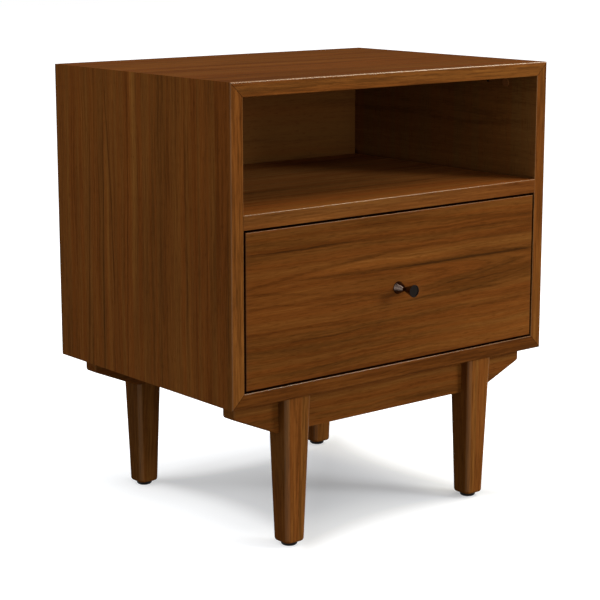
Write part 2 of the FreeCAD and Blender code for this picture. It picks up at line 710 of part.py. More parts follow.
def make_cage(member, name, hand):
    """The ball cage that runs between a member and the next one in."""
    web, tip, height = {
        "outer": ("(middle_offset - cage_play - cage_sheet)", "(middle_offset + cage_flange)", MIDDLE_HEIGHT),
        "inner": ("(middle_offset + slide_sheet + cage_play)",
                  "(middle_offset + slide_sheet + cage_play + cage_flange)", INNER_HEIGHT),
    }[member]
    body = add_body("ball_cage_%s_%s" % (member, name))
    start = "(%s + slide_length / 2 - cage_length / 2)" % SLIDE_START
    section = channel(web, tip, "%s + race_gap + cage_sheet" % height, "cage_sheet", hand)
    pad(body, "strip", "XZ", start, section, "cage_length")
    for level_name, sense in (("upper", 1), ("lower", -1)):
        ball = body.newObject("PartDesign::AdditiveSphere", level_name + "_ball")
        ball.AttachmentSupport = (datum(body, "XY_Plane"), "")
        ball.MapMode = "FlatFace"
        ball.setExpression("Radius", linked("ball_diameter / 2"))
        spot = (sided(hand, "(%s - (%s - cage_flange / 2))" % (WALL, tip)),
                "%s + slide_length / 2 - (ball_count - 1) * ball_pitch / 2" % SLIDE_START,
                "%s + %d * (%s + race_gap) / 2" % (SLIDE_MIDDLE, sense, height))
        for axis, text in zip("xyz", spot):
            ball.setExpression("AttachmentOffset.Base." + axis, linked(text))
        repeat(body, level_name + "_balls", ball, "Y", "(ball_count - 1) * ball_pitch", "ball_count")


def make_drawer_fittings():
    case_screws = []
    drawer_screws = []
    for name, hand in HANDS.items():
        for count, row in enumerate(SLIDE_SCREW_ROWS):
            seat = in_frame(CASE, (sided(hand, "(%s - slide_sheet)" % WALL), row, SLIDE_MIDDLE))
            case_screws.append(screw("case_screw_%s_%d" % (name, count), seat, (hand, 0, 0),
                                     "slide_screw_diameter", "case_screw_length",
                                     "slide_screw_head", "slide_screw_head_thick"))
            seat = in_frame(CASE, (sided(hand, "(%s + slide_sheet)" % BOX_HALF), row, SLIDE_MIDDLE))
            drawer_screws.append(screw("drawer_screw_%s_%d" % (name, count), seat, (-hand, 0, 0),
                                       "slide_screw_diameter", "drawer_screw_length",
                                       "slide_screw_head", "slide_screw_head_thick"))
    front_screws = []
    for count, (column, level) in enumerate(FRONT_SCREW_SPOTS):
        seat = in_frame(CASE, (column, "front_thick + box_end", level))
        front_screws.append(screw("front_screw_%d" % count, seat, (0, -1, 0), "slide_screw_diameter",
                                  "front_screw_length", "front_screw_head", "front_screw_head_thick"))
    group("slide_case_screws", case_screws)
    group("slide_drawer_screws", drawer_screws)
    group("front_screws", front_screws)
    seat = in_frame(CASE, ("0", "front_thick + box_end", FRONT_MIDDLE))
    group("knob_screw", [screw("knob_screw_solid", seat, (0, -1, 0), "knob_screw_diameter",
                               "knob_screw_length", "knob_screw_head", "front_screw_head_thick")])


def make_knob():
    body = add_body("knob", in_frame(CASE, ("0", "0", FRONT_MIDDLE)))
    head = "knob_head / 2"
    dish = "(knob_head / 2 - knob_rim_width)"
    revolve(body, "two_cones", "XY", [
        ("0", "0"), ("knob_base / 2", "0"), ("knob_base / 2", "-knob_base_thick"),
        ("knob_waist / 2", "-knob_waist_out"), (head, "knob_rim - knob_length"),
        (head, "-knob_length"), (dish, "-knob_length"), (dish, "knob_dish - knob_length"),
        ("0", "knob_dish - knob_length")], "V_Axis")
    fillet(body, "soft_waist", "knob_waist_round", at(y="-knob_waist_out"))
    bore(body, "thread", "XZ", "0", [("0", "0")], "knob_screw_diameter + 2 * screw_play",
         "knob_screw_length - front_thick - box_end", -1)


make_top()
make_bottom()
for hand_name, hand_sense in HANDS.items():
    make_side(hand_name, hand_sense)
make_shelf()
make_back()
make_case_fittings()
for rail_line in LINES:
    make_rail(rail_line)
    for leg_column in LEG_COLUMNS:
        make_leg(rail_line, leg_column)
        make_glide(rail_line, leg_column)
make_base_fittings()
make_drawer_front()
for box_end_name in BOX_ENDS:
    make_box_end(box_end_name)
make_drawer_bottom()
for hand_name, hand_sense in HANDS.items():
    make_box_side(hand_name, hand_sense)
    make_slide(hand_name, hand_sense)
    for cage_member in ("outer", "inner"):
        make_cage(cage_member, hand_name, hand_sense)
make_drawer_fittings()
make_knob()
doc.recompute()

for item in doc.Objects:
    if "Invalid" in item.State or "Error" in item.State:
        raise RuntimeError("%s failed: %s" % (item.Name, item.State))
    if item.TypeId == "PartDesign::Pocket" and item.Shape.Volume > item.BaseFeature.Shape.Volume - NEAR:
        raise RuntimeError("%s cuts nothing" % item.Name)
for node in nodes:
    if node.Shape.isNull() or not node.Shape.isValid():
        raise RuntimeError("%s has no valid shape" % node.Label)

os.makedirs("parts", exist_ok=True)
for node in nodes:
    node.Shape.exportStep("parts/%s.step" % node.Label)
print("%d nodes written" % len(nodes))
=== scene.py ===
"""Nightstand in walnut: finishes, small details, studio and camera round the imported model."""
import bpy
import math
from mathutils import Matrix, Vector


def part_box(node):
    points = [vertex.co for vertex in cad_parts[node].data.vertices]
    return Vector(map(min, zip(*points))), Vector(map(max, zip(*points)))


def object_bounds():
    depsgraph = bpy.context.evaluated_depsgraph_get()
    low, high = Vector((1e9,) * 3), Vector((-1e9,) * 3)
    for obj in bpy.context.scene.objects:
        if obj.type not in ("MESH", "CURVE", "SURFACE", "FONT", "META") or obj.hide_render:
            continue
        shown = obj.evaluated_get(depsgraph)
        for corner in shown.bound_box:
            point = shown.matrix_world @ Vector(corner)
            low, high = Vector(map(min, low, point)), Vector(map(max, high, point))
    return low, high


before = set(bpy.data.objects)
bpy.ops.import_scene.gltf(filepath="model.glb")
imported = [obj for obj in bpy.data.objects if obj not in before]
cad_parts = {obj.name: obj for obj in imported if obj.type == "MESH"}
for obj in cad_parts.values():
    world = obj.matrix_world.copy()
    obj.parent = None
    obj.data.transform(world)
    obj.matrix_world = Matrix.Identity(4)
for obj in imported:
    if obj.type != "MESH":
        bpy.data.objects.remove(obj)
cad_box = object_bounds()

LOW, HIGH = [Vector(corner) for corner in cad_box]
CASE_LOW = Vector(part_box("bottom_panel")[0])
CASE_HIGH = Vector(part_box("top_panel")[1])
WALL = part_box("shelf")[1][0]
SKIN = 0.0006
LEGS = ("front_left", "front_right", "rear_left", "rear_right")


# ---- small helpers for shader nodes

class Graph:
    """Builds nodes in one tree. Inputs are sockets or plain values."""

    def __init__(self, tree):
        self.tree = tree

    def node(self, kind, **settings):
        made = self.tree.nodes.new(kind)
        for name, value in settings.items():
            setattr(made, name, value)
        return made

    def feed(self, socket, value):
        if isinstance(value, bpy.types.NodeSocket):
            self.tree.links.new(value, socket)
        else:
            socket.default_value = value

    def math(self, operation, *values, clamp=False):
        made = self.node("ShaderNodeMath", operation=operation, use_clamp=clamp)
        for socket, value in zip(made.inputs, values):
            self.feed(socket, value)
        return made.outputs[0]

    def scaled(self, value, factor, offset=0.0):
        return self.math("MULTIPLY_ADD", value, factor, offset)

    def vector(self, x=0.0, y=0.0, z=0.0):
        made = self.node("ShaderNodeCombineXYZ")
        for socket, value in zip(made.inputs, (x, y, z)):
            self.feed(socket, value)
        return made.outputs[0]

    def noise(self, vector, detail=2.0, roughness=0.5):
        made = self.node("ShaderNodeTexNoise", noise_dimensions="3D")
        self.feed(made.inputs["Vector"], vector)
        made.inputs["Scale"].default_value = 1.0
        made.inputs["Detail"].default_value = detail
        made.inputs["Roughness"].default_value = roughness
        made.inputs["Distortion"].default_value = 0.0
        return made.outputs["Fac"]

    def ramp(self, value, low, high, to_low=0.0, to_high=1.0, smooth=True):
        made = self.node("ShaderNodeMapRange", interpolation_type="SMOOTHSTEP" if smooth else "LINEAR")
        for name, item in (("Value", value), ("From Min", low), ("From Max", high), ("To Min", to_low),
                           ("To Max", to_high)):
            self.feed(made.inputs[name], item)
        return made.outputs["Result"]

    def colours(self, value, stops):
        made = self.node("ShaderNodeValToRGB")
        made.color_ramp.interpolation = "EASE"
        elements = made.color_ramp.elements
        while len(elements) < len(stops):
            elements.new(0.5)
        for element, (place, colour) in zip(elements, stops):
            element.position = place
            element.color = (*colour, 1.0)
        self.feed(made.inputs[0], value)
        return made.outputs[0]

    def mix(self, amount, first, second, blend="MIX"):
        made = self.node("ShaderNodeMix", data_type="RGBA", blend_type=blend)
        self.feed(made.inputs["Factor"], amount)
        for socket, value in ((made.inputs[6], first), (made.inputs[7], second)):
            self.feed(socket, value if isinstance(value, bpy.types.NodeSocket) else (*value, 1.0))
        return made.outputs[2]

    def tint(self, colour, by, amount=None):
        """A colour multiplied by another, wholly or by an amount."""
        tinted = self.mix(1.0, colour, by, "MULTIPLY")
        return tinted if amount is None else self.mix(amount, colour, tinted)

    def relief(self, shader, height, strength, distance):
        """Gives a shader a fine surface."""
        bump = self.node("ShaderNodeBump")
        bump.inputs["Strength"].default_value = strength
        bump.inputs["Distance"].default_value = distance
        self.feed(bump.inputs["Height"], height)
        self.feed(shader.inputs["Normal"], bump.outputs["Normal"])


def new_material(name):
    """A material with a Principled shader, its graph and the shader."""
    material = bpy.data.materials.new(name)
    material.use_nodes = True
    shader = material.node_tree.nodes["Principled BSDF"]
    return material, Graph(material.node_tree), shader


def row_axes(graph):
    """The three coordinates of the model's own frame."""
    coordinates = graph.node("ShaderNodeTexCoord").outputs["Object"]
    split = graph.node("ShaderNodeSeparateXYZ")
    graph.feed(split.inputs[0], coordinates)
    return dict(zip("XYZ", split.outputs))


# ---- walnut

WALNUT = ((0.0, (0.044, 0.0150, 0.0030)), (0.30, (0.086, 0.0270, 0.0048)), (0.52, (0.122, 0.0390, 0.0070)),
          (0.74, (0.150, 0.0510, 0.0092)), (1.0, (0.200, 0.0740, 0.0145)))

# Noises of the figure: the scales, per metre, of their first and second coordinate.
BOW = (5.0, 11.0)
RIPPLE = (24.0, 40.0)
CLOUD = (4.0, 9.0)
BROAD = (40.0, 1.8)
LINES = (230.0, 3.6)
FINE = (640.0, 9.0)
HUE = (105.0, 1.3)
STRAND = (330.0, 11.0)
FIBRE = (900.0, 60.0)
STREAK = (760.0, 75.0)
SEED_STEP = 7.13
RIPPLE_WIDTH = 0.0030
SWAY_SHARE = 0.35

# How much each noise counts in the tone, and the ranges in which some of them show.
BROAD_SHARE = 0.55
LINE_SHARE = 0.26
DARK_SHARE = -0.11
FINE_SHARE = 0.34
CLOUD_SHARE = 0.24
FIBRE_SHARE = 0.50
DARK_RANGE = (0.45, 0.28)
PORE_RANGE = (0.64, 0.78)
HUE_RANGE = (0.34, 0.66)

# Lacquer: roughness, weight on the faces and on the rounded front edges, and the wood's own roughness under
# it.
COAT_ROUGHNESS = 0.24
COAT_FLAT = 0.014
COAT_ARRIS = 0.75
WOOD_ROUGHNESS = (0.62, 0.50)
# Painted highlight on the rounded front edges: the paler colour mixed in and its share; then the turn at
# which a surface counts as such an edge, and the share left on upright edges, which also set where the
# lacquer is thicker.
ARRIS_HIGHLIGHT_COLOUR = (0.250, 0.135, 0.055)
ARRIS_HIGHLIGHT_SHARE = 0.65
ARRIS_RANGE = (0.985, 0.90)
UPRIGHT_GLOSS_AND_HIGHLIGHT = 0.30

# Open pores: tint, how much of it shows, and the heights of pores and fibres in the relief.
PORE_TINT = (0.42, 0.33, 0.26)
PORE_SHARE = 0.30
PORE_HEIGHT = -0.7
FIBRE_HEIGHT = 0.5
WOOD_RELIEF = (0.35, 0.00006)

# Joints, painted shade in the bores and in the gaps round the drawer front, and the turn at which a surface
# counts as a front.
FRONT_TURN = (-0.5, -0.8)
MITRE_LINE = 0.0009
MITRE_SHARE = 0.90
MITRE_COLOUR = (0.012, 0.005, 0.002)
BORE_MARGIN = 0.03
BORE_PAINTED_SHADE = (0.004, 0.002, 0.001)
GAP_PAINTED_SHADE = (0.12, 0.12, 0.12)
GAP_REACH = 0.015
GAP_RANGE = (0.40, 0.75)
GAP_TURN = (0.85, 0.4)

# Painted light that brightens the boards inside the bay: the back panel's inner face, the sides' inner faces,
# the whole shelf, and the shelf more towards the back between two depths.
BACK_PAINTED_LIGHT = (1.42, 1.66, 2.15)
WALL_PAINTED_LIGHT = (1.52, 1.95, 2.65)
SHELF_PAINTED_LIGHT = (1.88, 1.88, 2.10)
SHELF_DEEP_PAINTED_LIGHT = (1.42, 1.70, 2.05)
DEEP_PAINTED_LIGHT_REACH = (-0.17, 0.04)
# The legs' own hue, and the tints of the streaks that are redder and more golden than the rest.
LEG_TINT = (0.92, 0.96, 1.0)
RUDDY = (1.03, 0.955, 0.91)
GOLDEN = (0.99, 1.065, 1.10)


def new_group(name, inputs, outputs):
    """An empty node group with number sockets, its graph, and its input and output sockets."""
    tree = bpy.data.node_groups.new(name, "ShaderNodeTree")
    for socket in inputs:
        tree.interface.new_socket(socket, in_out="INPUT", socket_type="NodeSocketFloat")
    for socket in outputs:
        tree.interface.new_socket(socket, in_out="OUTPUT", socket_type="NodeSocketFloat")
    graph = Graph(tree)
    return tree, graph, graph.node("NodeGroupInput").outputs, graph.node("NodeGroupOutput").inputs


def make_walnut_group():
    """Wood figure: growth rings round a heart line that bows away from the board's face."""
    tree, graph, given, result = new_group(
        "walnut_figure",
        ("Along", "Across", "Depth", "Seed", "Heart along", "Heart across", "Flare", "Lift", "Sway"),
        ("Tone", "Fibre", "Strand", "Pores", "Swayed", "Hue"))
    along, across, depth = given["Along"], given["Across"], given["Depth"]
    seed = graph.scaled(given["Seed"], SEED_STEP)

    def figured(first, second, scales, third=seed, start=0.0, **shape):
        """Noise that is stretched along the grain and different for each seed."""
        first = graph.scaled(first, scales[0], seed)
        second = graph.scaled(second, scales[1], start)
        return graph.noise(graph.vector(first, second, third), **shape)

    def centred(value):
        return graph.math("SUBTRACT", value, 0.5)

    wave = figured(along, across, BOW, detail=2.0, roughness=0.4)
    ripple = graph.scaled(centred(figured(along, across, RIPPLE, detail=1.0)), RIPPLE_WIDTH)
    swerve = graph.math("MULTIPLY_ADD", centred(wave), given["Sway"], ripple)
    side = graph.math("SUBTRACT", graph.math("ADD", across, swerve), given["Heart across"])
    past_heart = graph.math("MAXIMUM", graph.math("SUBTRACT", along, given["Heart along"]), 0.0)
    down = graph.math("ADD", graph.math("MULTIPLY_ADD", past_heart, given["Flare"], given["Lift"]), depth)
    squares = graph.math("ADD", graph.math("MULTIPLY", side, side), graph.math("MULTIPLY", down, down))
    ring = graph.math("SQRT", squares)

    broad = figured(ring, along, BROAD, detail=1.0)
    lines = figured(ring, along, LINES, detail=2.0, roughness=0.6)
    fine = figured(ring, along, FINE, detail=1.0)
    hue = figured(ring, along, HUE, start=seed, detail=1.0)
    cloud = figured(along, across, CLOUD, detail=1.0)
    fibre = figured(across, along, FIBRE, graph.scaled(depth, FIBRE[0]), detail=2.0, roughness=0.6)
    streak = figured(across, along, STREAK, graph.scaled(depth, STREAK[0]), detail=0.0)
    strand = figured(side, along, STRAND, graph.scaled(depth, STRAND[0]), detail=1.0, roughness=0.6)

    tone = 0.5
    for part, share in ((centred(broad), BROAD_SHARE), (centred(lines), LINE_SHARE),
                        (graph.ramp(lines, *DARK_RANGE), DARK_SHARE), (centred(fine), FINE_SHARE),
                        (centred(cloud), CLOUD_SHARE), (centred(fibre), FIBRE_SHARE)):
        tone = graph.math("MULTIPLY_ADD", part, share, tone)
    swayed = graph.math("ADD", across, graph.scaled(swerve, SWAY_SHARE))
    for name, value in (("Tone", tone), ("Fibre", fibre), ("Strand", centred(strand)),
                        ("Pores", graph.ramp(streak, *PORE_RANGE)), ("Swayed", swayed),
                        ("Hue", graph.ramp(hue, *HUE_RANGE))):
        graph.feed(result[name], value)
    return tree


STROKE_END = 0.22


def make_stroke_group():
    """One line or band of figure: a soft curve through three points along the grain."""
    tree, graph, given, result = new_group(
        "grain_stroke",
        ("Along", "Across", "Start", "End", "First", "Middle", "Last", "Width", "Strength"), ("Shade",))
    length = graph.math("SUBTRACT", given["End"], given["Start"])
    place = graph.math("DIVIDE", graph.math("SUBTRACT", given["Along"], given["Start"]), length)
    rise = graph.math("SUBTRACT", given["Last"], given["First"])
    chord = graph.math("MULTIPLY_ADD", place, rise, given["First"])
    halfway = graph.scaled(graph.math("ADD", given["First"], given["Last"]), 0.5)
    bow = graph.math("SUBTRACT", given["Middle"], halfway)
    parabola = graph.math("MULTIPLY", graph.math("MULTIPLY", place, graph.math("SUBTRACT", 1.0, place)), 4.0)
    centre = graph.math("MULTIPLY_ADD", parabola, bow, chord)
    distance = graph.math("ABSOLUTE", graph.math("SUBTRACT", given["Across"], centre))
    body = graph.ramp(graph.math("DIVIDE", distance, given["Width"]), 1.0, 0.0)
    starts = graph.ramp(place, 0.0, STROKE_END)
    ends = graph.math("MULTIPLY", starts, graph.ramp(place, 1.0, 1.0 - STROKE_END))
    graph.feed(result["Shade"], graph.math("MULTIPLY", graph.math("MULTIPLY", body, ends), given["Strength"]))
    return tree


WALNUT_GROUP = make_walnut_group()
STROKE_GROUP = make_stroke_group()


def call(graph, group, **values):
    """Uses a node group. Spaces in socket names are underscores here."""
    made = graph.node("ShaderNodeGroup", node_tree=group)
    for name, value in values.items():
        graph.feed(made.inputs[name.replace("_", " ")], value)
    return made.outputs


def rings(graph, axes, grain, seed, heart=(0.0, 0.6), flare=0.0, lift=0.1, sway=0.010):
    """One board's figure: grain names the axes along, across and through the board."""
    return call(graph, WALNUT_GROUP, Along=axes[grain[0]], Across=axes[grain[1]], Depth=axes[grain[2]],
                Seed=seed, Heart_along=heart[0], Heart_across=heart[1], Flare=flare, Lift=lift, Sway=sway)


def add_strokes(graph, tone, along, across, strokes):
    """Adds single lines and bands of figure to a tone. Lengths run from the board's corner."""
    for start, end, places, width, strength in strokes:
        shade = call(graph, STROKE_GROUP, Along=along, Across=across, Start=start, End=end, First=places[0],
                     Middle=places[1], Last=places[2], Width=width, Strength=strength)["Shade"]
        tone = graph.math("ADD", tone, shade)
    return tone


def object_normal(graph):
    """The surface's direction in the model's own frame."""
    split = graph.node("ShaderNodeSeparateXYZ")
    graph.feed(split.inputs[0], graph.node("ShaderNodeTexCoord").outputs["Normal"])
    return split.outputs


def arris_gloss_and_highlight_mask(graph, normal):
    """One on the rounded edges that get thicker lacquer and a painted highlight, less on upright ones and
    none underneath, and nought on the faces.
    """
    largest = 0.0
    for part in normal:
        largest = graph.math("MAXIMUM", largest, graph.math("ABSOLUTE", part))
    gloss_and_highlight_by_slope = graph.math("ADD", graph.ramp(normal[2], -0.25, 0.0, 0.0, UPRIGHT_GLOSS_AND_HIGHLIGHT),
                        graph.ramp(normal[2], 0.1, 0.5, 0.0, 1.0 - UPRIGHT_GLOSS_AND_HIGHLIGHT))
    return graph.math("MULTIPLY", graph.ramp(largest, *ARRIS_RANGE), gloss_and_highlight_by_slope)


def bore_shade_mask(graph, axes):
    """One inside the bores of the side boards, which are open between their two faces; shade is painted
    there.
    """
    out = graph.math("ABSOLUTE", axes["X"])
    sunk = graph.math("MULTIPLY", graph.ramp(out, WALL, WALL + SKIN),
                      graph.ramp(out, CASE_HIGH.x - SKIN, CASE_HIGH.x - 2 * SKIN))
    behind = graph.math("GREATER_THAN", axes["Y"], CASE_LOW.y + BORE_MARGIN)
    before = graph.math("LESS_THAN", axes["Y"], CASE_HIGH.y - BORE_MARGIN)
    return graph.math("MULTIPLY", sunk, graph.math("MULTIPLY", behind, before))


def mitre_mask(graph, axes, normal):
    """The fine joint line across the case's four mitres, on its front and back edges."""
    out = graph.math("SUBTRACT", CASE_HIGH.x, graph.math("ABSOLUTE", axes["X"]))
    middle = (CASE_HIGH.z + CASE_LOW.z) / 2
    half = (CASE_HIGH.z - CASE_LOW.z) / 2
    up = graph.math("SUBTRACT", half, graph.math("ABSOLUTE", graph.math("SUBTRACT", axes["Z"], middle)))
    line = graph.ramp(graph.math("ABSOLUTE", graph.math("SUBTRACT", out, up)), MITRE_LINE, 0.0)
    return graph.math("MULTIPLY", line, graph.ramp(graph.math("ABSOLUTE", normal[1]), 0.3, 0.6))


def gap_shade_mask(graph, normal):
    """Where shade is painted: one on narrow faces that another piece shuts in a few millimetres away, and
    nought in the open.
    """
    made = graph.node("ShaderNodeAmbientOcclusion", samples=8)
    made.inputs["Distance"].default_value = GAP_REACH
    crowded = graph.ramp(graph.math("SUBTRACT", 1.0, made.outputs["AO"]), *GAP_RANGE)
    turned = graph.ramp(graph.math("ABSOLUTE", normal[1]), *GAP_TURN)
    return graph.math("MULTIPLY", turned, crowded)


def paler(amount):
    """A tint that is that much lighter, and a little more yellow."""
    return (amount, amount * 1.02, amount * 1.04)


def board_tone(graph, axes, front, grain, seed, strokes=(), corner=None, contrast=1.0, strand=0.40,
               edge_strand=1.3, **board):
    """A board's figure and its tone from dark to pale.

    strokes are single lines of figure, measured from corner, against both axes. contrast scales the figure.
    strand and edge_strand are how strongly single strands show on the faces and on the front."""
    parts = rings(graph, axes, grain, seed, **board)
    tone = graph.scaled(parts["Tone"], contrast, 0.5 * (1.0 - contrast))
    if strokes:
        along = graph.math("MULTIPLY_ADD", axes[grain[0]], corner[0][1], corner[0][0])
        across = graph.math("MULTIPLY_ADD", parts["Swayed"], corner[1][1], corner[1][0])
        tone = add_strokes(graph, tone, along, across, strokes)
    strands = graph.ramp(front, 0.0, 1.0, strand, edge_strand)
    return parts, graph.math("MULTIPLY_ADD", parts["Strand"], strands, tone)


def lacquer(graph, shader, parts, tone, edge_gloss_and_highlight, arris):
    """Satin lacquer, thicker on the rounded edges of the mask, over wood with fine open pores."""
    graph.feed(shader.inputs["Roughness"], graph.ramp(tone, 0.0, 1.0, *WOOD_ROUGHNESS, smooth=False))
    shader.inputs["Specular IOR Level"].default_value = 0.0
    shader.inputs["Coat Roughness"].default_value = COAT_ROUGHNESS
    graph.feed(shader.inputs["Coat Weight"], graph.ramp(edge_gloss_and_highlight, 0.0, 1.0, COAT_FLAT, arris))
    fibres = graph.scaled(parts["Fibre"], FIBRE_HEIGHT)
    graph.relief(shader, graph.math("MULTIPLY_ADD", parts["Pores"], PORE_HEIGHT, fibres), *WOOD_RELIEF)


def walnut(name, grain, seed, stops=WALNUT, level=0.0, inner=None, edge=None, tint=None, deep=None,
           arris=COAT_ARRIS, shaded_in_gaps=False, mitred=False, **pattern):
    """Walnut for one board, with the pattern that board_tone draws.

    level shifts the tone. inner is the grain of a side board's inner face. tint multiplies the whole board:
    on the shelf it is painted light that brightens it inside the bay, on the legs their own hue. deep is more
    painted light on the shelf towards the back, and edge the tint of the front edge or face, which on the
    back panel's inner face and on the legs' fronts is painted light. arris is the lacquer of the rounded
    edges and the strength of the painted highlight on them. The gap flag paints shade on the faces that are
    shut in the thin gap round a drawer front."""
    material, graph, shader = new_material(name)
    axes = row_axes(graph)
    normal = object_normal(graph)
    front = graph.ramp(normal[1], *FRONT_TURN)
    parts, tone = board_tone(graph, axes, front, grain, seed, **pattern)
    if inner:
        within = graph.math("LESS_THAN", graph.math("ABSOLUTE", axes["X"]), WALL + SKIN)
        outside = graph.math("MULTIPLY", tone, graph.math("SUBTRACT", 1.0, within))
        lining = graph.math("MULTIPLY", rings(graph, axes, inner, seed + 0.5)["Tone"], within)
        tone = graph.math("ADD", outside, lining)
    tone = graph.math("ADD", tone, level, clamp=True)
    colour = graph.tint(graph.colours(tone, stops), graph.mix(parts["Hue"], RUDDY, GOLDEN))
    if inner:
        # Painted light on the inner faces of the sides.
        colour = graph.tint(colour, WALL_PAINTED_LIGHT, within)
        # Painted shade inside the bores.
        colour = graph.mix(bore_shade_mask(graph, axes), colour, BORE_PAINTED_SHADE)
    # On the shelf this is painted light that brightens it inside the bay; on the legs it is their own hue.
    if tint:
        colour = graph.tint(colour, tint)
    # Painted light, more towards the back of the shelf.
    if deep:
        colour = graph.tint(colour, deep, graph.ramp(axes["Y"], *DEEP_PAINTED_LIGHT_REACH))
    # The front edge or face tint; on the back panel's inner face and on the legs' fronts it is painted light.
    if edge:
        colour = graph.tint(colour, edge, front)
    # Painted shade on the narrow faces shut in the gap round the drawer front.
    if shaded_in_gaps:
        colour = graph.tint(colour, GAP_PAINTED_SHADE, gap_shade_mask(graph, normal))
    colour = graph.tint(colour, PORE_TINT, graph.scaled(parts["Pores"], PORE_SHARE))
    edge_gloss_and_highlight = arris_gloss_and_highlight_mask(graph, normal)
    # Painted highlight: a paler colour on the rounded edges that face up or forward.
    colour = graph.mix(graph.scaled(edge_gloss_and_highlight, ARRIS_HIGHLIGHT_SHARE * arris / COAT_ARRIS), colour, ARRIS_HIGHLIGHT_COLOUR)
    if mitred:
        colour = graph.mix(graph.scaled(mitre_mask(graph, axes, normal), MITRE_SHARE), colour, MITRE_COLOUR)
    graph.feed(shader.inputs["Base Color"], colour)
    lacquer(graph, shader, parts, tone, edge_gloss_and_highlight, arris)
    return material


def dress(node, material):
    """Gives a CAD node its material."""
    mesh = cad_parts[node].data
    mesh.materials.clear()
    mesh.materials.append(material)


# Lines and bands of figure: start, end, places across at start, middle and end, half width, strength.
# Along and across run from the board's corner: left and top on the drawer front, top and back on the side.
DRAWER_STROKES = (
    (0.020, 0.560, (0.069, 0.0725, 0.0745), 0.0048, -0.30),
    (0.230, 0.540, (0.072, 0.0735, 0.0750), 0.0022, -0.26),
    (-0.060, 0.300, (0.080, 0.059, 0.0475), 0.0036, -0.22),
    (0.180, 0.560, (0.0475, 0.049, 0.053), 0.0034, -0.16),
    (0.060, 0.640, (0.066, 0.0600, 0.0630), 0.0100, 0.24),
    (0.150, 0.620, (0.008, 0.018, 0.033), 0.0070, -0.20),
    (-0.100, 0.620, (0.030, 0.028, 0.022), 0.0030, -0.12),
    (-0.100, 0.200, (0.034, 0.031, 0.026), 0.0030, -0.10),
    (0.280, 0.620, (0.108, 0.1000, 0.0900), 0.0180, -0.16),
    (0.255, 0.530, (0.114, 0.1000, 0.0800), 0.0028, -0.16),
    (0.300, 0.520, (0.100, 0.0930, 0.0790), 0.0022, -0.12),
    (0.330, 0.540, (0.122, 0.1130, 0.0940), 0.0024, -0.12),
    (0.260, 0.450, (0.117, 0.1195, 0.1180), 0.0040, -0.26),
    (0.400, 0.580, (0.120, 0.1150, 0.1040), 0.0030, -0.14),
    (-0.040, 0.290, (0.072, 0.0920, 0.1160), 0.0034, -0.15),
    (-0.040, 0.200, (0.084, 0.1000, 0.1140), 0.0026, -0.10),
    (-0.080, 0.240, (0.131, 0.1310, 0.1380), 0.0034, -0.18),
    (-0.080, 0.420, (0.150, 0.1580, 0.1600), 0.0034, -0.16),
    (0.380, 0.620, (0.158, 0.1540, 0.1460), 0.0030, -0.12),
    (-0.080, 0.500, (0.182, 0.1840, 0.1780), 0.0050, -0.08),
)
SIDE_STROKES = (
    (0.020, 0.520, (0.117, 0.1110, 0.1070), 0.0024, -0.42),
    (-0.010, 0.330, (0.116, 0.1310, 0.1370), 0.0026, -0.34),
    (0.010, 0.620, (0.119, 0.1230, 0.1240), 0.0080, 0.26),
    (-0.120, 0.330, (0.182, 0.1860, 0.1800), 0.0110, 0.24),
    (-0.120, 0.560, (0.177, 0.1700, 0.1610), 0.0026, -0.28),
    (0.060, 0.560, (0.084, 0.0740, 0.0620), 0.0022, -0.34),
    (-0.160, 0.560, (0.300, 0.3020, 0.3080), 0.0030, -0.18),
    (-0.100, 0.280, (0.096, 0.0930, 0.0880), 0.0020, -0.14),
    (0.100, 0.560, (0.232, 0.2300, 0.2330), 0.0022, -0.14),
    (-0.160, 0.560, (0.345, 0.3460, 0.3480), 0.0040, -0.12),
)
TOP_STROKES = (
    (-0.200, 0.480, (0.163, 0.1650, 0.1680), 0.0120, -0.14),
    (-0.200, 0.400, (0.214, 0.2220, 0.2240), 0.0120, -0.16),
    (-0.200, 0.750, (0.192, 0.1930, 0.1960), 0.0080, 0.10),
    (-0.100, 0.750, (0.310, 0.3140, 0.3160), 0.0100, -0.10),
    (-0.100, 0.750, (0.090, 0.0850, 0.0900), 0.0160, 0.08),
)


# On the legs the paler front faces are painted light on the side that faces the lamps.
LEG_LOOK = dict(contrast=0.60, strand=0.65, edge_strand=0.95, edge=paler(1.40), tint=LEG_TINT, arris=0.62)
RAIL_LOOK = dict(strand=0.6, edge_strand=0.6, arris=0.2)
DRAWER_LOOK = dict(flare=0.07, sway=0.012, edge_strand=0.38, arris=0.35, level=-0.035, shaded_in_gaps=True)
DRAWER_HEART = (0.2, 0.088)


